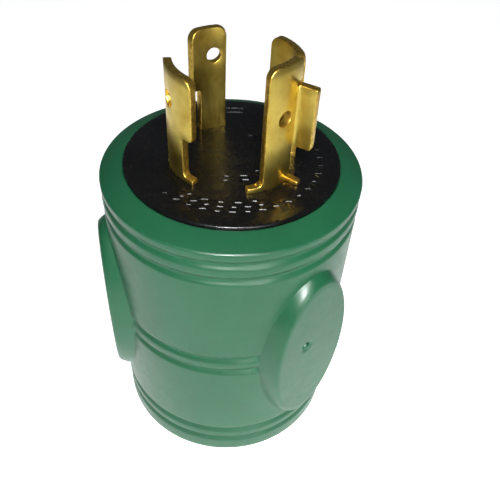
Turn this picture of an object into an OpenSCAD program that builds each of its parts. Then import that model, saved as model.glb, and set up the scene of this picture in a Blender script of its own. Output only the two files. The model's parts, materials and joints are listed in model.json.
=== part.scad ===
// Compact one-piece power adapter: a four-blade locking plug on top, a three-hole
// travel-trailer receptacle underneath, and a moulded barrel with finger pads between.
// Origin: centre of the base face. +Z points out of the plug end.

/* [Barrel] */
// Height of the barrel from its base to its upper edge
barrel_h = 72.5; // [71:0.5:75]
// Radius of the barrel at its upper edge
barrel_top_r = 28; // [27.5:0.25:29]
// Radius of the barrel at its base
barrel_base_r = 27.4; // [27:0.2:28.2]
// Rise of the sloping shoulder from the upper edge to the plug face
shoulder_rise = 1.6; // [0.8:0.2:2]
// Radius of the bore through the jacket
bore_r = 23; // [22.8:0.1:23.2]

/* [Grooves] */
// Distance between neighbouring pairs of grooves
pair_pitch = 29.5; // [28:0.5:29.5]
// Distance between the two grooves of a pair
groove_gap = 4.2; // [3.6:0.2:5]
// Radius of a groove's round bottom
groove_r = 1; // [0.8:0.1:1.2]
// Depth of a groove
groove_depth = 0.7; // [0.4:0.1:0.8]

/* [Finger pads] */
// Distance of a pad's flat face from the barrel's axis
pad_face_d = 30; // [29.25:0.25:30.25]
// Half width of a pad's flat face
pad_half_w = 9.8; // [9.2:0.2:10.4]
// Half height of a pad's flat face
pad_half_h = 21.6; // [19:0.2:21.8]

/* [Plug blades] */
// Radius of the blades' inner face
blade_in_r = 11.8; // [11.4:0.1:12]
// Thickness of the blade sheet
blade_t = 1.6; // [1.4:0.1:1.8]
// Height of the hot and neutral blades above the plug face
blade_h = 22.4; // [20:0.2:24]
// Height of the ground blade above the plug face
ground_h = 25.5; // [24:0.5:28]
// Height of the locking notch's upper edge above the plug face
notch_top = 9.8; // [8:0.2:11]
// Radius of the rounded corners at a blade's tip
tip_round = 1.8; // [1:0.2:2]
// Radius of the round hole in each blade
blade_hole_r = 1.6; // [1.2:0.1:1.8]

/* [Receptacle] */
// Distance of each flat slot from the centre line, and along the face
slot_x = 9.5; // [9:0.1:10]
slot_y = 4.5; // [4:0.1:5]
// Length and width of a flat slot
slot_l = 9.6; // [9:0.2:10]
slot_w = 2.4; // [2.2:0.1:2.8]
// Angle of the slots from the line between them
slot_angle = 45; // [40:1:50]
// Distance of the round ground hole from the centre
ground_hole_y = -9.5; // [-10:0.1:-9]
// Radius of the round hole in the face for the ground pin
ground_hole_r = 3.2; // [3.1:0.05:3.3]
// Inner radius of the sleeve that grips the ground pin
sleeve_in_r = 2.6; // [2.5:0.05:2.7]

/* [Hidden] */
$fn = 96;
eps = 0.01;

// Running gap between the jacket's bore and the parts inside it
fit_gap = 0.05;
core_r = bore_r - fit_gap;

// Heights of the joints between the inner parts
face_recess = 0.5;
receptacle_top_z = 4.5;
carrier_top_z = 26;
retainer_z = 62;
plug_face_z = 68;
shoulder_z = barrel_h + shoulder_rise;
face_proud = 0.6;
face_z = shoulder_z + face_proud;

// Edge roundings of the barrel
base_round = 1.5;
edge_round = 0.6;
arc_steps = 6;

// Middle height of the middle pair of grooves
groove_mid_z = barrel_h / 2 + 1.6;

// Pads: angles of their middles, then the depth below the flat face and the growth of the half
// width and half height, ring by ring, down to the root inside the barrel's wall
pad_angles = [-93, 28.5, 150];
pad_z = barrel_h / 2 + 1;
pad_rings = [[0, 0, 0], [0.8, 0.7, 1.5], [2, 1.1, 2.5], [5.9, 1.8, 2.5]];
pad_sides = 48;
nub_offset = -2;
nub_rise = 3.9;
nub_r = 0.8;
nub_dish_r = 1.7;
nub_dish_depth = 0.25;
nub_proud = 0.2;

// Blades: start angle, end angle of the hook, end angle of the neck
blade_out_r = blade_in_r + blade_t;
blade_mid_r = blade_in_r + blade_t / 2;
ground_arc = [-106, -64, -73];
neutral_arc = [56, 93, 84];
hot_x_arc = [138, 192, 181];
hot_y_arc = [-41, 10, -1];
foot_h = 1.1;
foot_reach = 11;
ground_foot_reach = 14;
foot_stub = 2;
tab_out_r = 17.2;
tab_bottom = 7.4;
tab_top = 20.4;
tail_half_w = 2.6;
shoulder_half_w = 3.6;
tail_shoulder_h = 1;
hot_y_tail_l = 5;
slot_gap = 0.1;
crimp_r = 2.75;
crimp_wall_gap = 1.05;
crimp_top_z = 61.5;
crimp_bottom_z = 53;
crimp_cap = 1.6;

// Wires
wire_r = 1.6;
insulation_r = 2.4;
wire_sides = 12;
wire_rings = 12;

// Contacts
leaf_l = 9;
leaf_gap = 2;
leaf_t = 0.8;
leaf_bottom_z = 6;
ledge_z = 21;
bridge_t = 1;
post_r = 1.4;
contact_crimp_z = 28;
contact_crimp_top_z = 36;
pocket_l = 10.8;
pocket_w = 5.6;
ledge_w = 0.9;
ground_pocket_r = 4.6;
sleeve_t = 0.8;
band_t = 0.5;
band_z = 9;
band_h = 5;

// Screws: three under the retainer, three in the carrier
screw_r = 1.5;
screw_head_r = 2.7;
screw_head_h = 1.8;
screw_circle_r = 18.3;
plug_screw_bite = 3;
plug_screw_hole_h = 4;
receptacle_screw_bite = 2.3;
receptacle_screw_hole_h = 2.5;
retainer_screw_angles = [-52, 30, 120];
carrier_screw_angles = [-30, 90, 210];

// Core halves
core_in_r = 19.5;
pin_r = 1;
pin_half_l = 2.5;
pin_zs = [34, 54];

green = [0.16, 0.45, 0.31];
black = [0.07, 0.07, 0.08];
brass = [0.78, 0.62, 0.24];
copper = [0.72, 0.42, 0.25];
steel = [0.6, 0.62, 0.65];

// ---- helpers ----

// Sector of a ring about Z, between two radii, angles and heights
module ring_sector(r0, r1, a0, a1, z0, z1) {
    rotate([0, 0, a0])
        rotate_extrude(angle = a1 - a0)
            translate([r0, z0])
                square([r1 - r0, z1 - z0]);
}

function barrel_r(z) = barrel_base_r + (barrel_top_r - barrel_base_r) * z / barrel_h;
function arc_points(cx, cy, r, a0, a1) =
    [for (i = [0 : arc_steps]) let (a = a0 + (a1 - a0) * i / arc_steps)
        [cx + r * cos(a), cy + r * sin(a)]];
function ellipse_points(w, h) =
    [for (i = [0 : pad_sides - 1]) let (a = 360 * i / pad_sides) [w * cos(a), h * sin(a)]];

// ---- jacket ----

// Half section of the barrel, with its rounded base edge and upper edge
module barrel_section() {
    polygon(concat(
        [[0, 0]],
        arc_points(barrel_base_r - base_round, base_round, base_round, -90, 0),
        arc_points(barrel_top_r - edge_round, barrel_h - edge_round, edge_round, 0, 72),
        [[bore_r, shoulder_z], [0, shoulder_z]]));
}

// Three pairs of round-bottomed grooves round the barrel
module grooves() {
    for (pair = [-1 : 1], side = [-1, 1]) {
        z = groove_mid_z + pair * pair_pitch + side * groove_gap / 2;
        rotate_extrude()
            translate([barrel_r(z) + groove_r - groove_depth, z])
                circle(groove_r, $fn = 24);
    }
}

// One oval finger pad: a flat face with walls that curve down into the barrel
module finger_pad() {
    translate([0, 0, pad_z])
        rotate([90, 0, 90])
            hull()
                for (ring = pad_rings)
                    translate([0, 0, pad_face_d - ring[0] - eps])
                        linear_extrude(eps)
                            polygon(ellipse_points(pad_half_w + ring[1], pad_half_h + ring[2]));
}

// Moulding nub in a shallow dish on a pad's face
module nub_at(r, from_d, to_d) {
    translate([0, nub_offset, pad_z + nub_rise])
        rotate([0, 90, 0])
            translate([0, 0, from_d]) cylinder(r = r, h = to_d - from_d, $fn = 32);
}

module outer_jacket() {
    color(green)
    difference() {
        union() {
            difference() {
                rotate_extrude() barrel_section();
                grooves();
            }
            for (angle = pad_angles)
                rotate([0, 0, angle])
                    difference() {
                        finger_pad();
                        nub_at(nub_dish_r, pad_face_d - nub_dish_depth, pad_face_d + 1);
                    }
            for (angle = pad_angles)
                rotate([0, 0, angle])
                    nub_at(nub_r, pad_face_d - 1, pad_face_d + nub_proud);
        }
        translate([0, 0, -1]) cylinder(r = bore_r, h = shoulder_z + 2);
    }
}

// ---- plug end ----

function tail_angle(arc) = (arc[0] + arc[2]) / 2;
function hook_mid(arc) = (arc[0] + arc[1]) / 2;

// Sideways distance from the blade's middle plane to a point of the sheet at an angle
function side_of(arc, a) = blade_mid_r * sin(a - hook_mid(arc));

// Sheet of a blade: the part of a tube that an outline covers, as seen along the radius
module curved_sheet(arc, z0, z1, gap = 0) {
    rotate([0, 0, hook_mid(arc)])
        intersection() {
            rotate([0, 0, 180])
                difference() {
                    translate([0, 0, z0]) cylinder(r = blade_out_r + gap, h = z1 - z0);
                    translate([0, 0, z0 - 1]) cylinder(r = blade_in_r - gap, h = z1 - z0 + 2);
                }
            rotate([90, 0, 90])
                linear_extrude(blade_out_r + 1)
                    children();
        }
}

// Clearance slot for a blade's tail, of a half width, between two heights
module tail_slot(arc, half_w, z0, z1) {
    curved_sheet(arc, z0, z1, slot_gap)
        translate([side_of(arc, tail_angle(arc)) - half_w - slot_gap, z0 - 1])
            square([2 * (half_w + slot_gap), z1 - z0 + 2]);
}

module screw_holes(angles, r, z0, z1) {
    for (a = angles)
        rotate([0, 0, a])
            translate([screw_circle_r, 0, z0]) cylinder(r = r, h = z1 - z0, $fn = 32);
}

module plug_face() {
    chamfer = 0.8;
    color(black)
    difference() {
        union() {
            translate([0, 0, plug_face_z]) cylinder(r = core_r, h = shoulder_z - plug_face_z);
            translate([0, 0, shoulder_z])
                cylinder(r1 = core_r, r2 = core_r - chamfer, h = face_proud);
        }
        for (arc = [ground_arc, neutral_arc, hot_x_arc, hot_y_arc])
            tail_slot(arc, tail_half_w, plug_face_z - 1, face_z + 1);
        screw_holes(retainer_screw_angles, screw_r, plug_face_z - 1, plug_face_z + plug_screw_hole_h);
    }
}

module blade_retainer() {
    color(black)
    difference() {
        translate([0, 0, retainer_z]) cylinder(r = core_r, h = plug_face_z - retainer_z);
        for (arc = [ground_arc, neutral_arc, hot_x_arc, hot_y_arc]) {
            tail_slot(arc, tail_half_w, retainer_z - 1, plug_face_z + 1);
            tail_slot(arc, shoulder_half_w, plug_face_z - tail_shoulder_h - slot_gap, plug_face_z + 1);
        }
        screw_holes(retainer_screw_angles, screw_r + slot_gap, retainer_z - 1, plug_face_z + 1);
        screw_holes(retainer_screw_angles, screw_head_r + slot_gap,
            retainer_z - 1, retainer_z + screw_head_h + slot_gap);
    }
}

// Round-headed screw pointing up from its head's underside
module screw(length) {
    socket_r = 1;
    difference() {
        union() {
            cylinder(r = screw_head_r, h = screw_head_h, $fn = 32);
            cylinder(r = screw_r, h = length, $fn = 32);
        }
        translate([0, 0, -1]) cylinder(r = socket_r, h = 1 + screw_head_h / 2, $fn = 6);
    }
}

module retainer_screws() {
    color(steel)
    for (a = retainer_screw_angles)
        rotate([0, 0, a])
            translate([screw_circle_r, 0, retainer_z])
                screw(plug_face_z - retainer_z + plug_screw_bite);
}

// ---- blades ----

// Outline of a blade, seen along the radius: tail, clamped shoulder, feet, neck, hook and tip
function blade_points(arc, bottom_z, tip_z, notch, feet) =
    let (mid = side_of(arc, tail_angle(arc)), start = side_of(arc, arc[0]),
        hook = side_of(arc, arc[1]), neck = side_of(arc, arc[2]),
        foot0 = side_of(arc, feet[0]), foot1 = side_of(arc, feet[1]),
        foot_z = face_z + foot_h, hook_z = face_z + notch, low_z = plug_face_z - tail_shoulder_h)
    concat(
        [[mid - tail_half_w, bottom_z], [mid + tail_half_w, bottom_z],
            [mid + tail_half_w, low_z], [mid + shoulder_half_w, low_z],
            [mid + shoulder_half_w, plug_face_z], [mid + tail_half_w, plug_face_z],
            [mid + tail_half_w, face_z], [foot1, face_z], [foot1, foot_z], [neck, foot_z],
            [neck, hook_z], [hook, hook_z]],
        arc_points(hook - tip_round, tip_z - tip_round, tip_round, 0, 90),
        arc_points(start + tip_round, tip_z - tip_round, tip_round, 90, 180),
        [[start, foot_z], [foot0, foot_z], [foot0, face_z], [mid - tail_half_w, face_z],
            [mid - tail_half_w, plug_face_z], [mid - shoulder_half_w, plug_face_z],
            [mid - shoulder_half_w, low_z], [mid - tail_half_w, low_z]]);

// Round hole through a blade, at an angle and a height above the plug face
module blade_hole(angle, h) {
    rotate([0, 0, angle])
        translate([blade_in_r - 2, 0, face_z + h])
            rotate([0, 90, 0]) cylinder(r = blade_hole_r, h = blade_t + 4, $fn = 48);
}

// Whole blade sheet, from the bottom of its tail to its tip; hole is an angle and a height,
// and feet is a pair of angles
module blade_sheet(arc, height, tail_bottom, hole, feet, notch) {
    difference() {
        curved_sheet(arc, tail_bottom - 1, face_z + height + 1)
            polygon(blade_points(arc, tail_bottom, face_z + height, notch, feet));
        blade_hole(hole[0], hole[1]);
    }
}

// Socket with one closed end, pressed onto a wire
module crimp(bottom_z, top_z, open_down) {
    depth = top_z - bottom_z - crimp_cap;
    difference() {
        translate([0, 0, bottom_z]) cylinder(r = crimp_r, h = top_z - bottom_z, $fn = 48);
        translate([0, 0, open_down ? bottom_z - 1 : bottom_z + crimp_cap])
            cylinder(r = crimp_r - crimp_wall_gap, h = depth + 1, $fn = 48);
    }
}

module at_tail(arc) {
    rotate([0, 0, hook_mid(arc)])
        translate([sqrt(pow(blade_mid_r, 2) - pow(side_of(arc, tail_angle(arc)), 2)),
            side_of(arc, tail_angle(arc)), 0])
            children();
}

module blade_with_crimp(arc, height, hole, feet, notch = notch_top) {
    blade_sheet(arc, height, crimp_top_z - crimp_cap / 2, hole, feet, notch);
    at_tail(arc) crimp(crimp_bottom_z, crimp_top_z, true);
}

// Plate that stands out from the sheet along the radius, next to an edge at an angle
module radial_plate(edge_angle, out_r, z0, z1) {
    inset = 0.3;
    rotate([0, 0, edge_angle])
        translate([blade_mid_r, -blade_t - inset, z0])
            cube([out_r - blade_mid_r, blade_t, z1 - z0]);
}

module blade_ground() {
    foot_out_r = 16.2;
    color(brass) {
        blade_with_crimp(ground_arc, ground_h, [-87, 14.8],
            [ground_arc[0] - ground_foot_reach, ground_arc[2] + foot_stub], tab_bottom);
        radial_plate(ground_arc[1], tab_out_r, face_z + tab_bottom + eps, face_z + tab_top);
        radial_plate(ground_arc[2], foot_out_r, face_z, face_z + foot_h - 0.1);
    }
}

module blade_neutral() {
    color(brass)
    blade_with_crimp(neutral_arc, blade_h + 0.4, [69, 17],
        [neutral_arc[0] - foot_stub, neutral_arc[2] + foot_stub]);
}

module blade_hot_x() {
    color(brass)
    blade_with_crimp(hot_x_arc, blade_h, [160, 16],
        [hot_x_arc[0] - foot_stub, hot_x_arc[2] + foot_reach]);
}

module blade_hot_y() {
    color(brass)
    blade_sheet(hot_y_arc, blade_h, retainer_z - hot_y_tail_l, [-19, 16],
        [hot_y_arc[0] - foot_stub, hot_y_arc[2] + foot_reach], notch_top);
}

// Insulating cap over the tail of the hot blade that carries no wire
module hot_y_tail_cap() {
    cap_r = 4.2;
    cap_h = 7;
    color(black)
    difference() {
        at_tail(hot_y_arc)
            translate([0, 0, retainer_z - cap_h]) cylinder(r = cap_r, h = cap_h - eps, $fn = 48);
        tail_slot(hot_y_arc, tail_half_w, retainer_z - hot_y_tail_l - 2 * slot_gap, retainer_z + 1);
    }
}

// ---- wires ----

// Place of a flat contact, and of a blade's tail, seen from above
function flat_pos(side) = [side * slot_x, slot_y];
function tail_pos(arc) = blade_mid_r * [cos(tail_angle(arc)), sin(tail_angle(arc))];

// Smooth step from 0 to 1
function ease(t) = t * t * (3 - 2 * t);

// Centre line of a wire: straight in each crimp, and a gentle bend between them
function wire_path(from, to, z0, z1) =
    [for (i = [0 : wire_rings])
        let (z = z0 + (z1 - z0) * i / wire_rings,
            t = (crimp_bottom_z - z) / (crimp_bottom_z - contact_crimp_top_z),
            f = ease(min(1, max(0, t))))
        [from[0] + (to[0] - from[0]) * f, from[1] + (to[1] - from[1]) * f, z]];

// Tube of level rings along a centre line that only falls
module level_tube(path, r) {
    n = len(path);
    polyhedron(
        points = [for (p = path, k = [0 : wire_sides - 1])
            let (a = 360 * k / wire_sides) p + r * [cos(a), sin(a), 0]],
        faces = concat(
            [[for (k = [wire_sides - 1 : -1 : 0]) k]],
            [for (i = [0 : n - 2], k = [0 : wire_sides - 1])
                let (k2 = (k + 1) % wire_sides, b = i * wire_sides, c = b + wire_sides)
                [b + k, b + k2, c + k2, c + k]],
            [[for (k = [0 : wire_sides - 1]) (n - 1) * wire_sides + k]]));
}

module conductor(from, to) {
    end_gap = 0.2;
    color(copper)
    level_tube(wire_path(from, to, crimp_top_z - crimp_cap - end_gap,
        contact_crimp_z + crimp_cap + end_gap), wire_r);
}

module insulation(from, to, paint) {
    gap = 0.4;
    color(paint)
    difference() {
        level_tube(wire_path(from, to, crimp_bottom_z - gap, contact_crimp_top_z + gap), insulation_r);
        level_tube(wire_path(from, to, crimp_top_z, contact_crimp_z), wire_r + fit_gap);
    }
}

module conductor_ground() conductor(tail_pos(ground_arc), [0, ground_hole_y]);
module conductor_neutral() conductor(tail_pos(neutral_arc), flat_pos(1));
module conductor_hot() conductor(tail_pos(hot_x_arc), flat_pos(-1));
module insulation_ground() insulation(tail_pos(ground_arc), [0, ground_hole_y], [0.15, 0.5, 0.2]);
module insulation_neutral() insulation(tail_pos(neutral_arc), flat_pos(1), [0.9, 0.9, 0.88]);
module insulation_hot() insulation(tail_pos(hot_x_arc), flat_pos(-1), black);

// ---- core ----

module pin_holes() {
    for (z = pin_zs, side = [-1, 1])
        translate([-pin_half_l - slot_gap, side * (core_in_r + core_r) / 2, z])
            rotate([0, 90, 0]) cylinder(r = pin_r + fit_gap, h = 2 * (pin_half_l + slot_gap), $fn = 32);
}

module core_half(start_angle) {
    color([0.3, 0.3, 0.32])
    difference() {
        ring_sector(core_in_r, core_r, start_angle, start_angle + 180, carrier_top_z, retainer_z);
        pin_holes();
    }
}

module core_half_left() core_half(90);
module core_half_right() core_half(-90);

module core_pins() {
    color(steel)
    for (z = pin_zs, side = [-1, 1])
        translate([-pin_half_l, side * (core_in_r + core_r) / 2, z])
            rotate([0, 90, 0]) cylinder(r = pin_r, h = 2 * pin_half_l, $fn = 32);
}

// ---- receptacle end ----

// Places children at a flat slot; x runs along the slot
module at_slot(side) {
    translate([side * slot_x, slot_y, 0])
        rotate([0, 0, side * slot_angle])
            children();
}

module centred_box(l, w, z0, z1) {
    translate([-l / 2, -w / 2, z0]) cube([l, w, z1 - z0]);
}

module receptacle_face() {
    color(black)
    difference() {
        translate([0, 0, face_recess]) cylinder(r = core_r, h = receptacle_top_z - face_recess);
        for (side = [-1, 1]) at_slot(side) centred_box(slot_l, slot_w, -1, receptacle_top_z + 1);
        translate([0, ground_hole_y, -1]) cylinder(r = ground_hole_r, h = receptacle_top_z + 2);
        screw_holes(carrier_screw_angles, screw_r,
            receptacle_top_z - receptacle_screw_hole_h, receptacle_top_z + 1);
    }
}

module contact_carrier() {
    color([0.12, 0.12, 0.13])
    difference() {
        translate([0, 0, receptacle_top_z]) cylinder(r = core_r, h = carrier_top_z - receptacle_top_z);
        for (side = [-1, 1]) at_slot(side) {
            centred_box(pocket_l, pocket_w, receptacle_top_z - 1, ledge_z + 1);
            centred_box(pocket_l + 2 * ledge_w, pocket_w + 2 * ledge_w, ledge_z, carrier_top_z + 1);
        }
        translate([0, ground_hole_y, receptacle_top_z - 1])
            cylinder(r = ground_pocket_r, h = carrier_top_z);
        translate([0, ground_hole_y, ledge_z])
            cylinder(r = ground_pocket_r + ledge_w, h = carrier_top_z);
        screw_holes(carrier_screw_angles, screw_r + slot_gap, receptacle_top_z - 1, carrier_top_z + 1);
        screw_holes(carrier_screw_angles, screw_head_r + slot_gap,
            carrier_top_z - screw_head_h - slot_gap, carrier_top_z + 1);
    }
}

module carrier_screws() {
    color(steel)
    for (a = carrier_screw_angles)
        rotate([0, 0, a])
            translate([screw_circle_r, 0, carrier_top_z]) rotate([180, 0, 0])
                screw(carrier_top_z - receptacle_top_z + receptacle_screw_bite);
}

// Post and wire crimp on top of a contact
module contact_top() {
    translate([0, 0, ledge_z]) cylinder(r = post_r, h = contact_crimp_z - ledge_z + eps, $fn = 32);
    crimp(contact_crimp_z, contact_crimp_top_z, false);
}

// Flat-blade contact: two leaves under a bridge that rests on the carrier's ledge
module flat_contact(side) {
    color(brass)
    at_slot(side) {
        for (s = [-1, 1])
            translate([0, s * (leaf_gap + leaf_t) / 2, 0])
                centred_box(leaf_l, leaf_t, leaf_bottom_z, ledge_z + eps);
        centred_box(pocket_l + ledge_w, pocket_w + ledge_w, ledge_z, ledge_z + bridge_t);
        contact_top();
    }
}

// Round contact for the ground pin: a slit sleeve under a flange
module contact_ground() {
    slit_w = 0.8;
    slit_h = 10;
    color(brass)
    translate([0, ground_hole_y, 0]) {
        difference() {
            translate([0, 0, receptacle_top_z + fit_gap])
                cylinder(r = sleeve_in_r + sleeve_t, h = ledge_z - receptacle_top_z);
            translate([0, 0, receptacle_top_z - 1])
                cylinder(r = sleeve_in_r, h = ledge_z - receptacle_top_z - 1);
            for (a = [0, 90])
                rotate([0, 0, a + 45])
                    centred_box(2 * ground_pocket_r, slit_w, receptacle_top_z - 1, receptacle_top_z + slit_h);
        }
        translate([0, 0, ledge_z]) cylinder(r = ground_pocket_r + ledge_w / 2, h = bridge_t);
        contact_top();
    }
}

module contact_neutral() flat_contact(1);
module contact_hot() flat_contact(-1);

// Steel band that squeezes a flat contact's leaves
module flat_spring(side) {
    inner_l = leaf_l + slot_gap;
    inner_w = leaf_gap + 2 * leaf_t + slot_gap;
    color(steel)
    at_slot(side)
        difference() {
            centred_box(inner_l + 2 * band_t, inner_w + 2 * band_t, band_z, band_z + band_h);
            centred_box(inner_l, inner_w, band_z - 1, band_z + band_h + 1);
        }
}

module spring_neutral() flat_spring(1);
module spring_hot() flat_spring(-1);

// Open steel ring that squeezes the ground sleeve
module spring_ground() {
    inner_r = sleeve_in_r + sleeve_t + fit_gap;
    color(steel)
    translate([0, ground_hole_y, 0])
        ring_sector(inner_r, inner_r + band_t, -60, 240, band_z, band_z + band_h);
}

outer_jacket();
plug_face();
blade_retainer();
retainer_screws();
blade_ground();
blade_neutral();
blade_hot_x();
blade_hot_y();
hot_y_tail_cap();
conductor_ground();
conductor_neutral();
conductor_hot();
insulation_ground();
insulation_neutral();
insulation_hot();
core_half_left();
core_half_right();
core_pins();
contact_carrier();
carrier_screws();
contact_ground();
contact_neutral();
contact_hot();
spring_ground();
spring_neutral();
spring_hot();
receptacle_face();
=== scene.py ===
"""Looks of the power adapter: a moulded green barrel, a black plug face, four brass blades
and a black receptacle face. Lengths are in millimetres until a mesh is made, and in metres
in the meshes, the materials, the stage, the lights and the camera."""

import json
import math

import bmesh
import bpy
import numpy as np
from mathutils import Matrix, Vector, geometry


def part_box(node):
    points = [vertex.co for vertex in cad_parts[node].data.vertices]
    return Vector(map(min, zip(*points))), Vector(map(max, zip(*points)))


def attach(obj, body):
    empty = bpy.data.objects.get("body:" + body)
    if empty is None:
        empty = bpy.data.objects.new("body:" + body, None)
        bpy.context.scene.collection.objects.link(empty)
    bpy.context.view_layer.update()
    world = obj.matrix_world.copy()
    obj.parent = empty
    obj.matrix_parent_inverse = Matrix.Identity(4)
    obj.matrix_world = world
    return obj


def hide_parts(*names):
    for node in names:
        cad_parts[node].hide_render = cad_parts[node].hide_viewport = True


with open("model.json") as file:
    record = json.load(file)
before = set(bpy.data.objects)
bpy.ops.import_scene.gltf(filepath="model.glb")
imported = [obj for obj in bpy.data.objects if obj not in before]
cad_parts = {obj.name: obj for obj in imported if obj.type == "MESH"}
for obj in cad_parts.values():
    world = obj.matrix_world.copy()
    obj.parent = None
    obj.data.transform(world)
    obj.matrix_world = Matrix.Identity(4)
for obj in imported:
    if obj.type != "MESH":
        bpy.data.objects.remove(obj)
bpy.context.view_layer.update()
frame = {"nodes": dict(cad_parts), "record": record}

MM = 0.001
BODY = "root"
# In metres: points nearer than this become one, and edges shorter than this are dissolved
MERGE_DIST = 2e-6
SHORTEST_EDGE = 1e-7


def box_mm(node):
    """Lowest and highest corners of a CAD node, in millimetres."""
    low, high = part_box(node)
    return np.array(low) / MM, np.array(high) / MM


# ---- sizes, from the frame where it has them ----

_, JACKET_HIGH = box_mm("outer_jacket")
PLUG_LOW, PLUG_HIGH = box_mm("plug_face")
RECEPTACLE_LOW, RECEPTACLE_HIGH = box_mm("receptacle_face")
CORE_R = PLUG_HIGH[0]
FIT_GAP = 0.05
BORE_R = CORE_R + FIT_GAP
SHOULDER_Z = JACKET_HIGH[2]
SHOULDER_RISE = 1.6
BARREL_H = SHOULDER_Z - SHOULDER_RISE
BARREL_TOP_R = 28.0
BARREL_BASE_R = 27.4
BASE_ROUND = 1.5
EDGE_ROUND = 0.6
FACE_Z = PLUG_HIGH[2]

GROOVE_MID_Z = BARREL_H / 2 + 1.6
GROOVE_PITCH = 29.5
GROOVE_GAP = 4.2
GROOVE_DEPTH = 0.6
GROOVE_HALF_W = 1.5
GROOVE_ZS = [GROOVE_MID_Z + pair * GROOVE_PITCH + side * GROOVE_GAP / 2
             for pair in (-1, 0, 1) for side in (-1, 1)]

# Finger pads: the angles of their middles, the height of their middles, the flat face's distance
# from the axis, and the half width and half height of the face and of the foot
PAD_ANGLES = (-93, 28.5, 150)
PAD_Z = BARREL_H / 2 + 1
PAD_FACE_D = 30
PAD_FACE = np.array([9.8, 21.6])
PAD_FOOT = np.array([11.5, 24.1])
# Power of the wall's curve, and the widths of the rounding at its rim and at its foot
PAD_WALL_POWER = 2.0
PAD_RIM = 0.3
PAD_FILLET = 0.1
# Rings of points across a pad's wall: 0 is the edge of the flat face and 1 is the foot. Rings
# below 0 lie on the face, and rings above 1 on the barrel.
PAD_STEPS = (-0.2, -0.1, -0.05, -0.02, 0, 0.05, 0.1, 0.16, 0.23, 0.31, 0.4, 0.5,
             0.6, 0.7, 0.79, 0.87, 0.93, 0.97, 1.0, 1.03, 1.08, 1.16, 1.28)

# Moulding nub in a dish on a pad's face: its place from the pad's middle, radii and heights
NUB_AT = np.array([-2.0, 3.9])
NUB_R = 0.95
NUB_H = 0.75
DISH_IN_R = 0.9
DISH_R = 1.9
DISH_DEPTH = 0.4
NUB_RINGS = (0.0, 0.25, 0.45, 0.62, 0.75, 0.85, 0.92, 1.0, 1.15, 1.35, 1.55, 1.75, 1.95, 2.3)

BLADE_T = 1.6
BLADE_IN_R = 11.8
BLADE_MID_R = BLADE_IN_R + BLADE_T / 2
BLADE_HOLE_R = 1.6
# Angles in degrees and heights above the plug face. arc: start edge, end of the hook and end of
# the neck. feet: reach of each foot past the start edge and past the neck. hole: angle and height.
# notch: height of the locking notch's upper edge. tab: height of the bent tab's upper edge.
BLADES = {
    "blade_ground": {"arc": (-106, -64, -73), "feet": (14, 0.5), "hole": (-87, 14.8),
                     "notch": 7.4, "tab": 20.4},
    "blade_neutral": {"arc": (56, 93, 84), "feet": (0.5, 0.5), "hole": (69, 17.0), "notch": 9.8},
    "blade_hot_x": {"arc": (138, 192, 181), "feet": (0.5, 11), "hole": (160, 16.0), "notch": 9.8},
    "blade_hot_y": {"arc": (-41, 10, -1), "feet": (0.5, 11), "hole": (-19, 16.0), "notch": 9.8},
}
FOOT_H = 1.1
# Tail of a blade, with the shoulders that hold it under the plug face
TAIL_HALF_W = 2.6
SHOULDER_HALF_W = 3.6
SHOULDER_H = 1
# Bent tab of the ground blade: its distance from the hook's edge, bend radius and outer end
TAB_FROM_HOOK = 1.0
TAB_BEND_R = 1.35
TAB_OUT_R = 17.2


# ---- mesh helpers ----

def make_object(name, points_mm, faces, materials, face_material=None, sharp_deg=40):
    """Mesh object from points in millimetres, merged, with outward normals and smooth shading."""
    mesh = bpy.data.meshes.new(name)
    mesh.from_pydata([tuple(p) for p in np.asarray(points_mm) * MM], [], faces)
    for material in materials:
        mesh.materials.append(material)
    if face_material is not None:
        mesh.polygons.foreach_set("material_index", face_material)
    made = bmesh.new()
    made.from_mesh(mesh)
    bmesh.ops.remove_doubles(made, verts=made.verts, dist=MERGE_DIST)
    bmesh.ops.dissolve_degenerate(made, edges=made.edges, dist=SHORTEST_EDGE)
    bmesh.ops.recalc_face_normals(made, faces=made.faces)
    made.to_mesh(mesh)
    made.free()
    mesh.shade_smooth()
    mesh.set_sharp_from_angle(angle=math.radians(sharp_deg))
    made_object = bpy.data.objects.new(name, mesh)
    bpy.context.scene.collection.objects.link(made_object)
    return made_object


def place(piece, node):
    """Puts a detailed piece that stands for a CAD node on the body, and hides the node."""
    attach(piece, BODY)
    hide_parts(node)
    return piece


def smooth_min(a, b, k):
    """Smaller of two values, with a round transition k wide."""
    h = np.clip(0.5 + 0.5 * (b - a) / k, 0, 1)
    return b * (1 - h) + a * h - k * h * (1 - h)


def smooth_max(a, b, k):
    """Larger of two values, with a round transition k wide."""
    return -smooth_min(-a, -b, k)


def rounded(corners, steps=6):
    """Closed outline from (x, y, radius) corners, with an arc at each corner that has a radius."""
    out = []
    count = len(corners)
    for i, (x, y, radius) in enumerate(corners):
        corner = np.array([x, y])
        before = np.array(corners[i - 1][:2]) - corner
        after = np.array(corners[(i + 1) % count][:2]) - corner
        if radius <= 0:
            out.append(corner)
            continue
        before = before / np.linalg.norm(before)
        after = after / np.linalg.norm(after)
        half = math.acos(np.clip(before @ after, -1, 1)) / 2
        middle = (before + after) / np.linalg.norm(before + after)
        centre = corner + middle * radius / math.sin(half)
        start = corner + before * radius / math.tan(half) - centre
        end = corner + after * radius / math.tan(half) - centre
        a0 = math.atan2(start[1], start[0])
        turn = (math.atan2(end[1], end[0]) - a0 + math.pi) % (2 * math.pi) - math.pi
        for k in range(steps + 1):
            a = a0 + turn * k / steps
            out.append(centre + radius * np.array([math.cos(a), math.sin(a)]))
    return np.array(out)


def circle(x, y, radius, count):
    """Closed loop of points round a centre."""
    angles = 2 * np.pi * np.arange(count) / count
    return np.stack([x + radius * np.cos(angles), y + radius * np.sin(angles)], 1)


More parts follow.
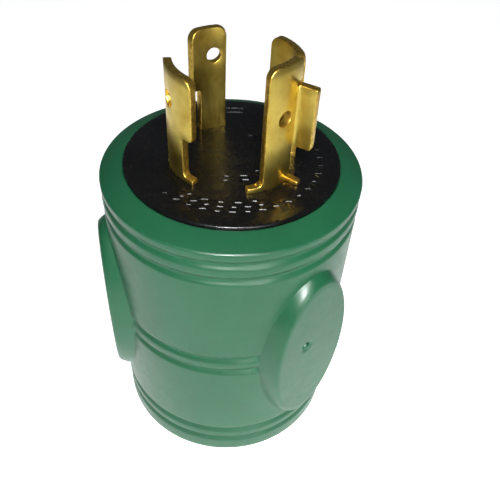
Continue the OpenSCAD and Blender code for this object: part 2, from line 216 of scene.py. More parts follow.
def resampled(loop, spacing):
    """The closed loop with points added along edges longer than the spacing."""
    out = []
    for p, q in zip(loop, np.roll(loop, -1, 0)):
        parts = max(1, int(math.ceil(np.linalg.norm(q - p) / spacing)))
        out.extend(p + (q - p) * k / parts for k in range(parts))
    return np.array(out)


def area_of(loop):
    """Area within a closed loop, above 0 when it runs anticlockwise."""
    x, y = loop.T
    return 0.5 * np.sum(x * np.roll(y, -1) - y * np.roll(x, -1))


def inset(loop, amount):
    """The loop moved to its left side by an amount, point by point."""
    ahead = np.roll(loop, -1, 0) - loop
    ahead /= np.linalg.norm(ahead, axis=1)[:, None]
    normal = np.stack([-ahead[:, 1], ahead[:, 0]], 1)
    joint = normal + np.roll(normal, 1, 0)
    joint /= (joint * normal).sum(1)[:, None]
    return loop + amount * joint


def inside(points, loop):
    """True for each point within a closed loop."""
    x, y = points[:, 0][:, None], points[:, 1][:, None]
    x0, y0 = loop.T
    x1, y1 = np.roll(loop, -1, 0).T
    crosses = (y0 > y) != (y1 > y)
    with np.errstate(divide="ignore", invalid="ignore"):
        at = x0 + (y - y0) * (x1 - x0) / (y1 - y0)
    return (crosses & (x < at)).sum(1) % 2 == 1


def fill_triangles(loops, extra):
    """Triangles inside the first loop and outside the others, through the extra points."""
    tolerance = 1e-5
    points = [tuple(p) for loop in loops for p in loop] + [tuple(p) for p in extra]
    edges, first = [], 0
    for loop in loops:
        edges += [(first + i, first + (i + 1) % len(loop)) for i in range(len(loop))]
        first += len(loop)
    vectors = [Vector(p) for p in points]
    result = geometry.delaunay_2d_cdt(vectors, edges, [], 0, tolerance)
    found = np.array([tuple(v) for v in result[0]])
    tris = np.array([f for f in result[2] if len(f) == 3])
    middles = found[tris].mean(1)
    keep = inside(middles, loops[0])
    for hole in loops[1:]:
        keep &= ~inside(middles, hole)
    return found, tris[keep]


def sheet_solid(loops, edge_rounds, thickness, place_point, spacing, grid=(1.0, 3.0)):
    """Sheet with round edges: loops are its outline and holes in the plane, and place_point
    turns plane points and a height through the sheet into places in space. Points are at most
    the spacing apart along the edges, and the two grid distances apart inside.
    Returns points, faces and 1 for each face of the cut edge."""
    round_steps, clearance = 3, 0.25
    loops = [loop if (area_of(loop) > 0) == (i == 0) else loop[::-1]
             for i, loop in enumerate(loops)]
    loops = [resampled(loop, spacing) for loop in loops]
    flat_loops = [inset(loop, r) for loop, r in zip(loops, edge_rounds)]
    low, high = flat_loops[0].min(0), flat_loops[0].max(0)
    xs = np.arange(low[0] + grid[0] / 2, high[0], grid[0])
    ys = np.arange(low[1] + grid[1] / 2, high[1], grid[1])
    extra = np.array([(x, y) for x in xs for y in ys]).reshape(-1, 2)
    clear = inside(extra, inset(flat_loops[0], clearance))
    for hole in flat_loops[1:]:
        clear &= ~inside(extra, inset(hole, clearance))
    flat, tris = fill_triangles(flat_loops, extra[clear])
    half = thickness / 2
    points = [place_point(flat, np.full(len(flat), half)),
              place_point(flat, np.full(len(flat), -half))]
    faces = [tuple(t) for t in tris]
    faces += [tuple(t[::-1] + len(flat)) for t in tris]
    kinds = [0] * len(faces)
    first = 2 * len(flat)
    for loop, r in zip(loops, edge_rounds):
        angles = [math.pi / 2 * k / round_steps for k in range(round_steps + 1)]
        ring_sizes = [(r * (1 - math.sin(a)), half - r * (1 - math.cos(a))) for a in angles]
        ring_sizes += [(amount, -height) for amount, height in reversed(ring_sizes)]
        count = len(loop)
        for amount, height in ring_sizes:
            points.append(place_point(inset(loop, amount), np.full(count, height)))
        for ring in range(len(ring_sizes) - 1):
            for i in range(count):
                j = (i + 1) % count
                a = first + ring * count
                b = a + count
                faces.append((a + i, b + i, b + j, a + j))
                kinds.append(1)
        first += len(ring_sizes) * count
    return np.concatenate(points), faces, kinds


def lathe(profile, count, closed=False):
    """Points and faces of a profile of (radius, z) turned round Z."""
    angles = 2 * np.pi * np.arange(count) / count
    profile = np.asarray(profile, float)
    points = np.array([(r * math.cos(a), r * math.sin(a), z) for r, z in profile for a in angles])
    faces = []
    rows = len(profile)
    for row in range(rows if closed else rows - 1):
        a, b = row * count, (row + 1) % rows * count
        faces += [(a + i, a + (i + 1) % count, b + (i + 1) % count, b + i) for i in range(count)]
    return points, faces


# ---- materials ----

class Nodes:
    """Short names for the nodes that the materials share."""

    def __init__(self, name):
        self.material = bpy.data.materials.new(name)
        self.material.use_nodes = True
        self.tree = self.material.node_tree
        self.shader = self.tree.nodes["Principled BSDF"]
        self.coords = self.tree.nodes.new("ShaderNodeTexCoord").outputs["Object"]

    def set(self, **sockets):
        """Sets the shader's own sockets; an underscore in a name stands for a space."""
        for key, value in sockets.items():
            self.shader.inputs[key.replace("_", " ")].default_value = value
        return self

    def link(self, source, socket):
        self.tree.links.new(source, self.shader.inputs[socket])

    def stretched(self, scale):
        node = self.tree.nodes.new("ShaderNodeMapping")
        node.inputs["Scale"].default_value = scale
        self.tree.links.new(self.coords, node.inputs["Vector"])
        return node.outputs["Vector"]

    def noise(self, scale, detail=3, roughness=0.5, vector=None):
        node = self.tree.nodes.new("ShaderNodeTexNoise")
        node.inputs["Scale"].default_value = scale
        node.inputs["Detail"].default_value = detail
        node.inputs["Roughness"].default_value = roughness
        self.tree.links.new(vector or self.coords, node.inputs["Vector"])
        return node.outputs["Fac"]

    def ramp(self, factor, stops):
        """Colour ramp from (position, colour) stops; a number stands for a grey."""
        node = self.tree.nodes.new("ShaderNodeValToRGB")
        elements = node.color_ramp.elements
        while len(elements) < len(stops):
            elements.new(0.5)
        for element, (position, colour) in zip(elements, stops):
            element.position = position
            grey = isinstance(colour, float)
            element.color = (colour,) * 3 + (1,) if grey else tuple(colour) + (1,)
        self.tree.links.new(factor, node.inputs["Fac"])
        return node.outputs["Color"]

    def mix(self, factor, a, b):
        node = self.tree.nodes.new("ShaderNodeMix")
        node.data_type = "RGBA"
        self.tree.links.new(factor, node.inputs["Factor"])
        self.tree.links.new(a, node.inputs["A"])
        self.tree.links.new(b, node.inputs["B"])
        return node.outputs["Result"]

    def bump(self, height, distance, strength=1.0, under=None):
        node = self.tree.nodes.new("ShaderNodeBump")
        node.inputs["Distance"].default_value = distance
        node.inputs["Strength"].default_value = strength
        self.tree.links.new(height, node.inputs["Height"])
        if under is not None:
            self.tree.links.new(under, node.inputs["Normal"])
        return node.outputs["Normal"]


def moulded_plastic(name, dark, light, rough, grain=2200, grain_height=0.00001, specular=0.5):
    """Moulded plastic: slow colour drift, uneven gloss, fine grain and faint waviness.
    Noise scales are per metre, and heights are in metres."""
    drift_scale, gloss_scale, wave_scale, wave_height = 55, 420, 90, 0.00012
    n = Nodes(name).set(Specular_IOR_Level=specular)
    drift = n.noise(drift_scale, 4, 0.6)
    n.link(n.ramp(drift, [(0.35, dark), (0.65, light)]), "Base Color")
    gloss = n.noise(gloss_scale, 5, 0.6)
    n.link(n.ramp(gloss, [(0.3, rough - 0.05), (0.7, rough + 0.07)]), "Roughness")
    wave = n.bump(n.noise(wave_scale, 2), wave_height, 0.5)
    n.link(n.bump(n.noise(grain, 2), grain_height, 1.0, wave), "Normal")
    return n.material


def brushed_brass(name, dark, light, rough):
    """Rolled brass sheet: fine upright brushing, thin tarnish clouds and small pits."""
    brush_scale, brush_height = (5200, 5200, 260), 0.000008
    cloud_scale, pit_scale, pit_height = 140, 900, 0.00002
    n = Nodes(name).set(Metallic=1.0)
    streaks = n.noise(1.0, 5, 0.65, n.stretched(brush_scale))
    clouds = n.noise(cloud_scale, 5, 0.62)
    tone = n.ramp(clouds, [(0.32, dark), (0.62, light)])
    shade = tuple(0.86 * c for c in light)
    fine = n.ramp(streaks, [(0.3, shade), (0.7, light)])
    half = n.ramp(clouds, [(0.3, 0.75), (0.7, 0.35)])
    n.link(n.mix(half, fine, tone), "Base Color")
    n.link(n.ramp(streaks, [(0.25, rough - 0.07), (0.75, rough + 0.1)]), "Roughness")
    pits = n.bump(n.noise(pit_scale, 4, 0.7), pit_height, 0.7)
    n.link(n.bump(streaks, brush_height, 1.0, pits), "Normal")
    return n.material


def sheared_edge(name, dark, light):
    """Cut edge of the brass sheet: coarse shear marks and darker tarnish."""
    mark_scale, mark_height = (1500, 1500, 900), 0.00005
    n = Nodes(name).set(Metallic=1.0)
    marks = n.noise(1.0, 4, 0.7, n.stretched(mark_scale))
    n.link(n.ramp(marks, [(0.3, dark), (0.68, light)]), "Base Color")
    n.link(n.ramp(marks, [(0.3, 0.45), (0.7, 0.28)]), "Roughness")
    n.link(n.bump(marks, mark_height, 0.8), "Normal")
    return n.material


def plated_steel(name, tone, rough):
    """Plated steel with fine darker, duller specks."""
    mark_scale, mark_height = 700, 0.00001
    n = Nodes(name).set(Metallic=1.0)
    marks = n.noise(mark_scale, 5, 0.6)
    darker = tuple(0.7 * c for c in tone)
    n.link(n.ramp(marks, [(0.3, darker), (0.7, tone)]), "Base Color")
    n.link(n.ramp(marks, [(0.3, rough + 0.12), (0.7, rough)]), "Roughness")
    n.link(n.bump(marks, mark_height), "Normal")
    return n.material


def stranded_copper(name):
    """Bare copper with the lay of its strands."""
    strand_scale, strand_height = (2600, 2600, 420), 0.00008
    dark, light = (0.32, 0.12, 0.05), (0.85, 0.42, 0.25)
    n = Nodes(name).set(Metallic=1.0)
    strands = n.noise(1.0, 2, 0.5, n.stretched(strand_scale))
    n.link(n.ramp(strands, [(0.35, dark), (0.6, light)]), "Base Color")
    n.link(n.ramp(strands, [(0.3, 0.5), (0.7, 0.3)]), "Roughness")
    n.link(n.bump(strands, strand_height), "Normal")
    return n.material


GREEN_DARK, GREEN_LIGHT = (0.012, 0.115, 0.048), (0.017, 0.135, 0.059)
MATERIALS = {
    "green_vinyl": moulded_plastic("green_vinyl", GREEN_DARK, GREEN_LIGHT, 0.33, specular=0.4),
    "black_nylon": moulded_plastic("black_nylon", (0.003, 0.003, 0.0035), (0.006, 0.006, 0.0065),
                                   0.25, grain=900, grain_height=0.00003, specular=0.38),
    "blade_brass": brushed_brass("blade_brass", (0.4, 0.24, 0.035), (0.72, 0.56, 0.12), 0.32),
    "blade_cut_edge": sheared_edge("blade_cut_edge", (0.3, 0.15, 0.02), (0.85, 0.62, 0.12)),
    "contact_brass": brushed_brass("contact_brass", (0.5, 0.34, 0.12), (0.74, 0.54, 0.22), 0.42),
    "screw_steel": plated_steel("screw_steel", (0.62, 0.63, 0.65), 0.28),
    "spring_steel": plated_steel("spring_steel", (0.36, 0.36, 0.38), 0.38),
    "copper_wire": stranded_copper("copper_wire"),
    "green_insulation": moulded_plastic("green_insulation", (0.01, 0.16, 0.03),
                                        (0.015, 0.22, 0.045), 0.4),
    "white_insulation": moulded_plastic("white_insulation", (0.6, 0.6, 0.55),
                                        (0.72, 0.72, 0.68), 0.4),
    "black_insulation": moulded_plastic("black_insulation", (0.008, 0.008, 0.008),
                                        (0.015, 0.015, 0.016), 0.42),
    "grey_core": moulded_plastic("grey_core", (0.045, 0.045, 0.05), (0.065, 0.065, 0.07), 0.55),
}


# ---- jacket ----

def barrel_r(z):
    """Radius of the barrel without its grooves, which grows evenly with height."""
    return BARREL_BASE_R + (BARREL_TOP_R - BARREL_BASE_R) * z / BARREL_H


def grooved_r(z):
    """Radius of the barrel with its grooves, which have round bottoms and soft lips."""
    z = np.asarray(z, float)
    cut = np.zeros_like(z)
    for groove_z in GROOVE_ZS:
        t = np.clip(np.abs(z - groove_z) / GROOVE_HALF_W, 0, 1)
        cut += GROOVE_DEPTH * 0.5 * (1 + np.cos(np.pi * t))
    return barrel_r(z) - cut


def pad_ring(t, w):
    """A pad's ring at w: 0 is the edge of the flat face, 1 is the foot, below 0 is the face.
    Returns sideways places, heights and the distances from the barrel's axis."""
    cos_t, sin_t = np.cos(t), np.sin(t)
    foot_u, foot_z = PAD_FOOT[0] * cos_t, PAD_FOOT[1] * sin_t
    foot_d = np.sqrt(barrel_r(PAD_Z + foot_z) ** 2 - foot_u ** 2)
    if w >= 0:
        half = PAD_FACE + (PAD_FOOT - PAD_FACE) * w
        wall_w = np.full_like(t, w)
    else:
        half = PAD_FACE * (1 + w)
        shrink = PAD_FACE / (PAD_FOOT - PAD_FACE)
        wall_w = w * (shrink[0] * cos_t ** 2 + shrink[1] * sin_t ** 2)
    drop = np.where(wall_w > 0, np.abs(wall_w) ** PAD_WALL_POWER, wall_w)
    wall_d = PAD_FACE_D - (PAD_FACE_D - foot_d) * drop
    d = smooth_min(np.full_like(t, PAD_FACE_D), wall_d, PAD_RIM)
    return half[0] * cos_t, half[1] * sin_t, d


def nub_height(distance):
    """Height of a pad's face around its moulding nub: a dome in a shallow dish."""
    out = np.clip((distance - DISH_IN_R) / (DISH_R - DISH_IN_R), 0, 1)
    dish = -DISH_DEPTH * 0.5 * (1 + np.cos(np.pi * out))
    dome = NUB_H * np.sqrt(np.clip(1 - (distance / NUB_R) ** 2, 0, 1))
    return dish + dome


def pad_points():
    """Points of one pad, as angle from its middle, height and radius, and its outermost ring."""
    columns, nub_columns = 320, 32
    blend_from = 0.3
    face_step, face_reach, face_share, nub_room = (1.5, 2), (9, 18), 0.55, 3

    def on_barrel(u, dz, d):
        return np.stack([np.arctan2(u, d), PAD_Z + dz, np.hypot(u, d)], 1)
    around = 2 * np.pi * np.arange(columns) / columns
    groups = []
    for w in PAD_STEPS:
        ring = on_barrel(*pad_ring(around, w))
        if w > blend_from:
            ring[:, 2] = smooth_max(ring[:, 2], grooved_r(ring[:, 1]), PAD_FILLET)
        groups.append(ring)
    outer = groups[-1]
    for ring_r in NUB_RINGS:
        u, dz = circle(*NUB_AT, ring_r, nub_columns if ring_r > 0 else 1).T
        groups.append(on_barrel(u, dz, PAD_FACE_D + nub_height(ring_r)))
    # Loose points over the middle of the flat face, clear of the nub
    across, up = (np.arange(-reach, reach + 0.1, step)
                  for reach, step in zip(face_reach, face_step))
    spots = [(u, dz) for u in across for dz in up
             if (u / PAD_FACE[0]) ** 2 + (dz / PAD_FACE[1]) ** 2 < face_share
             and math.hypot(u - NUB_AT[0], dz - NUB_AT[1]) > nub_room]
    u, dz = np.array(spots).T
    groups.append(on_barrel(u, dz, np.full_like(u, PAD_FACE_D)))
    return np.concatenate(groups), outer


def jacket_rows():
    """Heights of the rows of points on the barrel's side, close together in the grooves."""
    groove_rows, groove_reach, widest_gap = 13, 1.1, 2.4
    low, high = BASE_ROUND, BARREL_H - EDGE_ROUND
    rows = [low, high]
    for groove_z in GROOVE_ZS:
        spread = GROOVE_HALF_W * np.linspace(-groove_reach, groove_reach, groove_rows)
        rows += [z for z in groove_z + spread if low < z < high]
    rows = sorted(rows)
    filled = []
    for a, b in zip(rows, rows[1:]):
        parts = max(1, int(math.ceil((b - a) / widest_gap)))
        filled += [a + (b - a) * k / parts for k in range(parts)]
    return np.array(filled + [high])


def jacket_side(angles):
    """Points and triangles of the barrel's grooved side, with the pads let into its grid."""
    pad_room, tolerance = 0.3, 1e-6
    grid_a, grid_z = np.meshgrid(angles, jacket_rows())
    grid = np.stack([grid_a.ravel(), grid_z.ravel(), grooved_r(grid_z.ravel())], 1)
    flat_scale = np.array([BARREL_TOP_R, 1])
    pad, outer = pad_points()
    groups = []
    for pad_angle in PAD_ANGLES:
        middle = np.array([math.radians(pad_angle), 0])
        hole = inset((outer[:, :2] + middle) * flat_scale, -pad_room)
        grid = grid[~inside(grid[:, :2] * flat_scale, hole)]
        groups.append(pad + np.array([middle[0], 0, 0]))
    everything = np.concatenate([grid] + groups)
    vectors = [Vector(p) for p in everything[:, :2] * flat_scale]
    result = geometry.delaunay_2d_cdt(vectors, [], [], 0, tolerance)
    source = np.array([ids[0] for ids in result[3]])
    a, z, r = everything[source].T
    return np.stack([r * np.cos(a), r * np.sin(a), z], 1), [tuple(f) for f in result[2]]


def jacket_end_profiles():
    """Profiles as (radius, z): the bore with the rounded base, and the upper edge with the
    shoulder. The mouth's places are outwards from the bore and down from the shoulder."""
    mouth = ((0.5, 0.12), (0.2, 0.08), (0, 0.25))
    base_chamfer, edge_end_deg = 0.4, 72
    low_r, top_r = barrel_r(BASE_ROUND), barrel_r(BARREL_H - EDGE_ROUND)
    lower = [(BORE_R, SHOULDER_Z - mouth[-1][1]), (BORE_R, base_chamfer), (BORE_R + base_chamfer, 0)]
    lower += [(low_r + BASE_ROUND * (math.cos(t) - 1), BASE_ROUND * (1 + math.sin(t)))
              for t in np.radians(np.linspace(-90, 0, 9))]
    upper = [(top_r + EDGE_ROUND * (math.cos(t) - 1), BARREL_H + EDGE_ROUND * (math.sin(t) - 1))
             for t in np.radians(np.linspace(0, edge_end_deg, 6))]
    upper += [(BORE_R + out, SHOULDER_Z - down) for out, down in mouth]
    return lower, upper


def outer_jacket():
    """Barrel with its pads and grooves, its rounded ends and its bore."""
    columns, seam_deg = 360, -150
    angles = math.radians(seam_deg) + 2 * np.pi * np.arange(columns + 1) / columns
    side_points, faces = jacket_side(angles)
    points = [side_points]
    row_l = len(angles)
    for profile in jacket_end_profiles():
        first = sum(len(p) for p in points)
        points += [np.stack([r * np.cos(angles), r * np.sin(angles), np.full(row_l, z)], 1)
                   for r, z in profile]
        for row in range(len(profile) - 1):
            b = first + row * row_l
            faces += [(b + i, b + i + 1, b + i + 1 + row_l, b + i + row_l) for i in range(columns)]
    piece = make_object("outer_jacket_detailed", np.concatenate(points), faces,
                        [MATERIALS["green_vinyl"]], sharp_deg=50)
    return place(piece, "outer_jacket")


# ---- blades ----

def blade_sizes(spec):
    """Places along the sheet, in millimetres from the blade's start edge."""
    start, hook, neck = spec["arc"]
    per_degree = BLADE_MID_R * math.pi / 180
    hook_s, neck_s = (hook - start) * per_degree, (neck - start) * per_degree
    return {"hook": hook_s, "neck": neck_s, "tail": neck_s / 2,
            "bend": hook_s - TAB_FROM_HOOK - TAB_BEND_R,
            "foot0": -spec["feet"][0] * per_degree, "foot1": neck_s + spec["feet"][1] * per_degree}


def blade_outline(spec, tip_z, bottom_z):
    """Closed outline of a blade's sheet, as places along the sheet and heights."""
    tail_round, shoulder_round, small_round, tip_round = 0.4, 0.25, 0.1, 2.0
    long_foot, tab_step = 1, 0.5
    s = blade_sizes(spec)
    foot_z, hook_z = FACE_Z + FOOT_H, FACE_Z + spec["notch"]
    low_z, tail, hook = PLUG_LOW[2] - SHOULDER_H, s["tail"], s["hook"]
    long_start, long_end = s["foot0"] < -long_foot, s["foot1"] >= s["neck"] + long_foot
    corners = [(tail - TAIL_HALF_W, bottom_z, tail_round), (tail + TAIL_HALF_W, bottom_z, tail_round),
               (tail + TAIL_HALF_W, low_z, 0), (tail + SHOULDER_HALF_W, low_z, shoulder_round),
               (tail + SHOULDER_HALF_W, PLUG_LOW[2], shoulder_round),
               (tail + TAIL_HALF_W, PLUG_LOW[2], 0), (tail + TAIL_HALF_W, FACE_Z, 0),
               (s["foot1"], FACE_Z, small_round),
               (s["foot1"], foot_z, 0.4 if long_end else small_round),
               (s["neck"], foot_z, 1.0 if long_end else 0)]
    if "tab" in spec:
        tab_z, bend = FACE_Z + spec["tab"], s["bend"]
        end = bend + TAB_BEND_R * math.pi / 2 + TAB_OUT_R - BLADE_MID_R - TAB_BEND_R
        corners += [(s["neck"], hook_z, 0.3), (end, hook_z, 0.5), (end, tab_z, 0.5),
                    (bend, tab_z, 0.2), (bend, tab_z + tab_step, 0.2), (hook, tab_z + tab_step, 0.3)]
    else:
        corners += [(s["neck"], hook_z, 0.5), (hook, hook_z, 0.7)]
    corners += [(hook, tip_z, tip_round), (0, tip_z, tip_round),
                (0, foot_z, 1.2 if long_start else 0),
                (s["foot0"], foot_z, 0.35 if long_start else small_round),
                (s["foot0"], FACE_Z, small_round), (tail - TAIL_HALF_W, FACE_Z, 0),
                (tail - TAIL_HALF_W, PLUG_LOW[2], 0),
                (tail - SHOULDER_HALF_W, PLUG_LOW[2], shoulder_round),
                (tail - SHOULDER_HALF_W, low_z, shoulder_round), (tail - TAIL_HALF_W, low_z, 0)]
    return rounded(corners)


def blade_place(spec):
    """Function that puts plane points of a blade's sheet on its curve, bending the tab outwards."""
    start = math.radians(spec["arc"][0])
    bend = blade_sizes(spec)["bend"]
    # Without a tab the upper height is below the lower one, and nothing bends
    tab_low, tab_high = FACE_Z + 4, FACE_Z + spec.get("tab", 0) + 0.01

    def place_point(flat, height):
        s, z = flat.T
        in_tab = (z < tab_high) & (z > tab_low) & (s > bend)
        along = np.where(in_tab, bend, s)
        a = start + along / BLADE_MID_R
        turn = np.where(in_tab, np.clip((s - bend) / TAB_BEND_R, 0, np.pi / 2), 0)
        straight = np.where(in_tab, np.maximum(s - bend - TAB_BEND_R * np.pi / 2, 0), 0)
        out = TAB_BEND_R * (1 - np.cos(turn)) + straight * np.sin(turn)
        side = TAB_BEND_R * np.sin(turn)
        radial = BLADE_MID_R + out + height * np.cos(turn)
        tangent = side - height * np.sin(turn)
        x = radial * np.cos(a) - tangent * np.sin(a)
        y = radial * np.sin(a) + tangent * np.cos(a)
        return np.stack([x, y, z], 1)
    return place_point


def crimp_parts(spec, bottom_z):
    """Crimp socket under a blade's tail, closed at its top."""
    outer_r, inner_r, axis_r, round_r, height, cap = 2.75, 1.7, 0.001, 0.25, 8.5, 1.6
    top_z = bottom_z + height
    profile = [(inner_r, bottom_z), (outer_r - round_r, bottom_z), (outer_r, bottom_z + round_r),
               (outer_r, top_z - round_r), (outer_r - round_r, top_z), (axis_r, top_z),
               (axis_r, top_z - cap), (inner_r, top_z - cap)]
    points, faces = lathe(profile, 40, closed=True)
    start, _, neck = spec["arc"]
    angle = math.radians((start + neck) / 2)
    points[:, 0] += BLADE_MID_R * math.cos(angle)
    points[:, 1] += BLADE_MID_R * math.sin(angle)
    return points, faces


def foot_bar(spec):
    """Small radial foot beside the ground blade's neck, flat on the plug face."""
    out_r, width, thickness, from_neck = 16.4, 1.5, 1.0, 1.6
    root_round, end_round, edge_round = 0.1, 0.5, 0.2
    length = out_r - BLADE_MID_R
    loop = rounded([(0, 0, root_round), (length, 0, end_round), (length, width, end_round),
                    (0, width, root_round)])
    angle = math.radians(spec["arc"][0]) + (blade_sizes(spec)["neck"] - from_neck) / BLADE_MID_R
    out = np.array([math.cos(angle), math.sin(angle), 0])
    side = np.array([-math.sin(angle), math.cos(angle), 0])

    def place_point(flat, height):
        middle = (BLADE_MID_R + flat[:, :1]) * out + flat[:, 1:] * side
        return middle + np.stack([0 * height, 0 * height, FACE_Z + thickness / 2 + height], 1)
    return sheet_solid([loop], [edge_round], thickness, place_point, 1.0)


def blade(name, spec):
    """Blade with its cut edges, and its crimp unless it is the hot blade that has no wire."""
    outline_round, hole_round, spacing = 0.16, 0.12, 0.7
    sheet_above_crimp_mouth = 7.7
    low, high = box_mm(name)
    hole_angle, hole_h = spec["hole"]
    hole_s = (hole_angle - spec["arc"][0]) * math.pi / 180 * BLADE_MID_R
    has_crimp = name != "blade_hot_y"
    bottom_z = low[2] + sheet_above_crimp_mouth if has_crimp else low[2]
    loops = [blade_outline(spec, high[2], bottom_z),
             circle(hole_s, FACE_Z + hole_h, BLADE_HOLE_R, 36)]
    points, faces, kinds = sheet_solid(loops, [outline_round, hole_round], BLADE_T,
                                       blade_place(spec), spacing)
    extras = [foot_bar(spec)] if "tab" in spec else []
    if has_crimp:
        crimp_points, crimp_faces = crimp_parts(spec, low[2])
        extras.append((crimp_points, crimp_faces, [0] * len(crimp_faces)))
    for more_points, more_faces, more_kinds in extras:
        faces = faces + [tuple(i + len(points) for i in f) for f in more_faces]
        points = np.concatenate([points, more_points])
        kinds = kinds + more_kinds
    piece = make_object(name + "_detailed", points, faces,
                        [MATERIALS["blade_brass"], MATERIALS["blade_cut_edge"]], kinds, 45)
    return place(piece, name)


# ---- black faces ----

def slot_loop(spec):
    """Outline of a blade's slot through the plug face, a little larger than the tail."""
    gap, columns = 0.12, 13
    start, _, neck = spec["arc"]
    middle = math.radians((start + neck) / 2)
    half = (TAIL_HALF_W + gap) / BLADE_MID_R
    turn = np.linspace(middle - half, middle + half, columns)
    outer = (BLADE_MID_R + BLADE_T / 2 + gap) * np.stack([np.cos(turn), np.sin(turn)], 1)
    inner = (BLADE_MID_R - BLADE_T / 2 - gap) * np.stack([np.cos(turn), np.sin(turn)], 1)
    return np.concatenate([outer, inner[::-1]])


def raised_marks(spots, top_z):
    """Low bevelled bars from (radius, angle, length, width, turn from the radius) spots."""
    height, sunk, bevel = 0.14, 0.1, 0.075
    points, faces = [], []
    for radius, angle_deg, length, width, turn_deg in spots:
        a, turn = math.radians(angle_deg), math.radians(angle_deg + turn_deg)
        centre = np.array([radius * math.cos(a), radius * math.sin(a)])
        along = np.array([math.cos(turn), math.sin(turn)])
        across = np.array([-along[1], along[0]])
        first = len(points)
        for shrink, z in ((0, top_z - sunk), (0, top_z + height - bevel), (bevel, top_z + height)):
            for i, j in ((-1, -1), (1, -1), (1, 1), (-1, 1)):
                flat = centre + along * i * (length / 2 - shrink) + across * j * (width / 2 - shrink)
                points.append((flat[0], flat[1], z))
        for ring in (0, 4):
            faces += [(first + ring + k, first + ring + (k + 1) % 4, first + ring + 4 + (k + 1) % 4,
                       first + ring + 4 + k) for k in range(4)]
        faces += [tuple(first + k for k in (3, 2, 1, 0)), tuple(first + k for k in (8, 9, 10, 11))]
    return np.array(points), faces


def face_marks():
    """Marks on the plug face, as spots for raised_marks: rows of plain dashes, each dash leaning
    one of three ways in turn, outside and inside the ring of blades, and two bars outside it."""
    # Radius, first angle, end angle and step from dash to dash
    rows = ((18.6, -180, -20, 3), (17.2, -170, -105, 3), (15.8, -168, -110, 4),
            (8.8, -150, 30, 9), (7.4, -150, -50, 9))
    dash_angle, lean, dash_l, shorter, dash_w = -43, 38, 1.3, 0.4, 0.17
    bar_angle, bar_w, across = 47, 0.5, 90
    spots = []
    for radius, first, last, step in rows:
        for i, angle in enumerate(range(first, last, step)):
            turn = dash_angle + lean * (i % 3 - 1) - angle
            spots.append((radius, angle, dash_l - shorter * (i % 2), dash_w, turn))
    spots += [(19.6, bar_angle, 4.6, bar_w, across), (17.8, bar_angle, 4.0, bar_w, across)]
    return spots


def face_plate(name, holes, rim_round, hole_rounds, low_z, high_z, marks=()):
    """Round black plate in place of a CAD node, with holes and raised marks."""
    columns, spacing, grid = 240, 1.0, (3.0, 3.0)
    middle_z = (high_z + low_z) / 2

    def place_point(flat, height):
        return np.concatenate([flat, (middle_z + height)[:, None]], 1)
    points, faces, _ = sheet_solid([circle(0, 0, CORE_R, columns)] + holes, [rim_round] + hole_rounds,
                                   high_z - low_z, place_point, spacing, grid)
    if marks:
        mark_points, mark_faces = raised_marks(marks, high_z)
        faces = faces + [tuple(i + len(points) for i in f) for f in mark_faces]
        points = np.concatenate([points, mark_points])
    piece = make_object(name + "_detailed", points, faces, [MATERIALS["black_nylon"]])
    return place(piece, name)


def plug_face():
    """Face that the blades stand on, with a slot for each."""
    rim_round, slot_round = 0.3, 0.1
    slots = [slot_loop(spec) for spec in BLADES.values()]
    return face_plate("plug_face", slots, rim_round, [slot_round] * len(slots), PLUG_LOW[2], FACE_Z,
                      face_marks())


def receptacle_face():
    """Face with two slots at 45 degrees and a round hole, all with softened mouths."""
    slot_x, slot_y, half_l, half_w, slot_angle, corner = 9.5, 4.5, 4.8, 1.2, 45, 0.3
    hole_y, hole_r = -9.5, 3.2
    rim_round, slot_round, hole_round = 0.4, 0.3, 0.4
    flat = rounded([(-half_l, -half_w, corner), (half_l, -half_w, corner),
                    (half_l, half_w, corner), (-half_l, half_w, corner)])
    holes = []
    for side in (-1, 1):
        a = math.radians(side * slot_angle)
        turn = np.array([[math.cos(a), math.sin(a)], [-math.sin(a), math.cos(a)]])
        holes.append(flat @ turn + np.array([side * slot_x, slot_y]))
    holes.append(circle(0, hole_y, hole_r, 48))
    return face_plate("receptacle_face", holes, rim_round, [slot_round, slot_round, hole_round],
                      RECEPTACLE_LOW[2], RECEPTACLE_HIGH[2])


# ---- stage, light and camera ----

CAMERA_AZIMUTH = -133


def turned(azimuth_deg, elevation_deg, distance):
    """Point at a distance from the origin, in metres, at an azimuth from +X and an elevation."""
    a, e = math.radians(azimuth_deg), math.radians(elevation_deg)
    return Vector((math.cos(a) * math.cos(e), math.sin(a) * math.cos(e), math.sin(e))) * distance


def area_light(name, turn, elevation, distance, size, power):
    """Round soft light aimed at the barrel. Its turn is from the camera's azimuth, in degrees."""
    target = Vector((0, 0, 0.045))
    data = bpy.data.lights.new(name, "AREA")
    data.shape = "DISK"
    data.size = size
    data.energy = power
    light = bpy.data.objects.new(name, data)
    light.location = target + turned(CAMERA_AZIMUTH + turn, elevation, distance)
    light.rotation_euler = (target - light.location).to_track_quat("-Z", "Y").to_euler()
    bpy.context.scene.collection.objects.link(light)
    return light


def stage_mesh(name, points, faces, material):
    """Mesh object in metres, linked to the scene."""
    mesh = bpy.data.meshes.new(name)
    mesh.from_pydata([tuple(p) for p in points], [], faces)
    mesh.materials.append(material)
    made_object = bpy.data.objects.new(name, mesh)
    bpy.context.scene.collection.objects.link(made_object)
    return made_object


def flat_disc(name, inner_r, outer_r, material):
    """Flat disc or ring on the ground, in metres."""
    count = 96
    angles = 2 * np.pi * np.arange(count) / count
    points = [(r * math.cos(a), r * math.sin(a), 0) for r in (inner_r, outer_r) for a in angles]
    faces = [(i, (i + 1) % count, count + (i + 1) % count, count + i) for i in range(count)]
    if inner_r == 0:
        points, faces = points[count:], [tuple(range(count))]
    disc = stage_mesh(name, points, faces, material)
    return disc


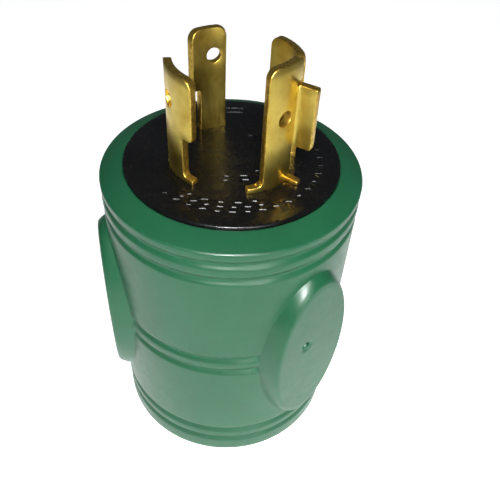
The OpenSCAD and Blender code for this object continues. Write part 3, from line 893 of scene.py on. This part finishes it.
def studio_paper(name, strength):
    """White paper with a glow of its own, so that it stays pale beyond the lights."""
    grain_scale, shade, white = 3, 0.86, 0.88
    n = Nodes(name).set(Specular_IOR_Level=0.2, Roughness=0.8, Emission_Color=(1, 1, 1, 1),
                        Emission_Strength=strength)
    n.link(n.ramp(n.noise(grain_scale, 2), [(0.3, shade), (0.7, white)]), "Base Color")
    return n.material


def backdrop():
    """Pale wall and ceiling far off, seen only directly, so that the object doesn't reflect them."""
    radius, height, below, axis_r, glow = 3.0, 4.0, 0.01, 0.001, 0.9
    points, faces = lathe([(radius, -below), (radius, height), (axis_r, height)], 64)
    wall = stage_mesh("backdrop", points, faces, studio_paper("backdrop_paper", glow))
    wall.visible_diffuse = wall.visible_glossy = wall.visible_shadow = False


def stage_and_light():
    """White floor, of which only the near part shows in reflections, and soft lights."""
    near_r, far_r, floor_glow = 0.2, 3.0, 0.84
    sky_colour, sky_strength = (0.9, 0.95, 1, 1), 0.09
    paper = studio_paper("floor_paper", floor_glow)
    flat_disc("floor", 0, near_r, paper)
    far_floor = flat_disc("floor_far", near_r, far_r, paper)
    far_floor.visible_glossy = far_floor.visible_diffuse = False
    backdrop()
    world = bpy.data.worlds.new("studio")
    bpy.context.scene.world = world
    world.use_nodes = True
    sky = world.node_tree.nodes["Background"].inputs
    sky["Color"].default_value = sky_colour
    sky["Strength"].default_value = sky_strength
    # Each light has a turn, an elevation, a distance, a size and a power.
    # A high key light over the camera, and a low, broader light to its right
    area_light("key", 3, 52, 0.25, 0.06, 0.5)
    area_light("side_light", 23, 6, 0.5, 0.17, 0.85)
    # A small lamp behind the camera that shows only in reflections, as bright glints
    area_light("flash_glint", -3, 31, 0.3, 0.05, 1.6).visible_diffuse = False
    # Wide, weak lights from both sides that brighten the shaded parts without a highlight
    for name, turn, power in (("fill_left", -110, 0.2), ("fill_right", 120, 0.25)):
        area_light(name, turn, 5, 1.0, 0.4, power).visible_glossy = False


def camera():
    """Camera above and beside the plug face, turned a little about its own line of sight."""
    distance, height = 0.10501, 0.1473
    aim_sideways, aim_height = 0.00494, 0.04725
    roll_deg, lens, sensor_w = 3.48, 42.83, 36
    nearest, farthest = 0.005, 20
    a = math.radians(CAMERA_AZIMUTH)
    away = Vector((-math.cos(a), -math.sin(a), 0))
    right = Vector((-math.sin(a), math.cos(a), 0))
    location = away * -distance + Vector((0, 0, height))
    target = right * aim_sideways + Vector((0, 0, aim_height))
    forward = (target - location).normalized()
    level_right = forward.cross(Vector((0, 0, 1))).normalized()
    level_up = level_right.cross(forward)
    roll = math.radians(roll_deg)
    x_axis = level_right * math.cos(roll) + level_up * math.sin(roll)
    y_axis = level_up * math.cos(roll) - level_right * math.sin(roll)
    data = bpy.data.cameras.new("camera")
    data.lens, data.sensor_width = lens, sensor_w
    data.clip_start, data.clip_end = nearest, farthest
    view = bpy.data.objects.new("camera", data)
    axes = Matrix((x_axis, y_axis, -forward)).transposed().to_4x4()
    view.matrix_world = Matrix.Translation(location) @ axes
    bpy.context.scene.collection.objects.link(view)
    bpy.context.scene.camera = view


def paint_cad_nodes():
    """Gives each inner CAD node the material of its slot."""
    for part in frame["record"]["subparts"]:
        node = frame["nodes"][part["node"]]
        node.data.materials.clear()
        node.data.materials.append(MATERIALS[part["material_slot"]])


camera()
paint_cad_nodes()
outer_jacket()
for blade_name, blade_spec in BLADES.items():
    blade(blade_name, blade_spec)
plug_face()
receptacle_face()
stage_and_light()
bpy.context.scene.view_settings.view_transform = "Standard"
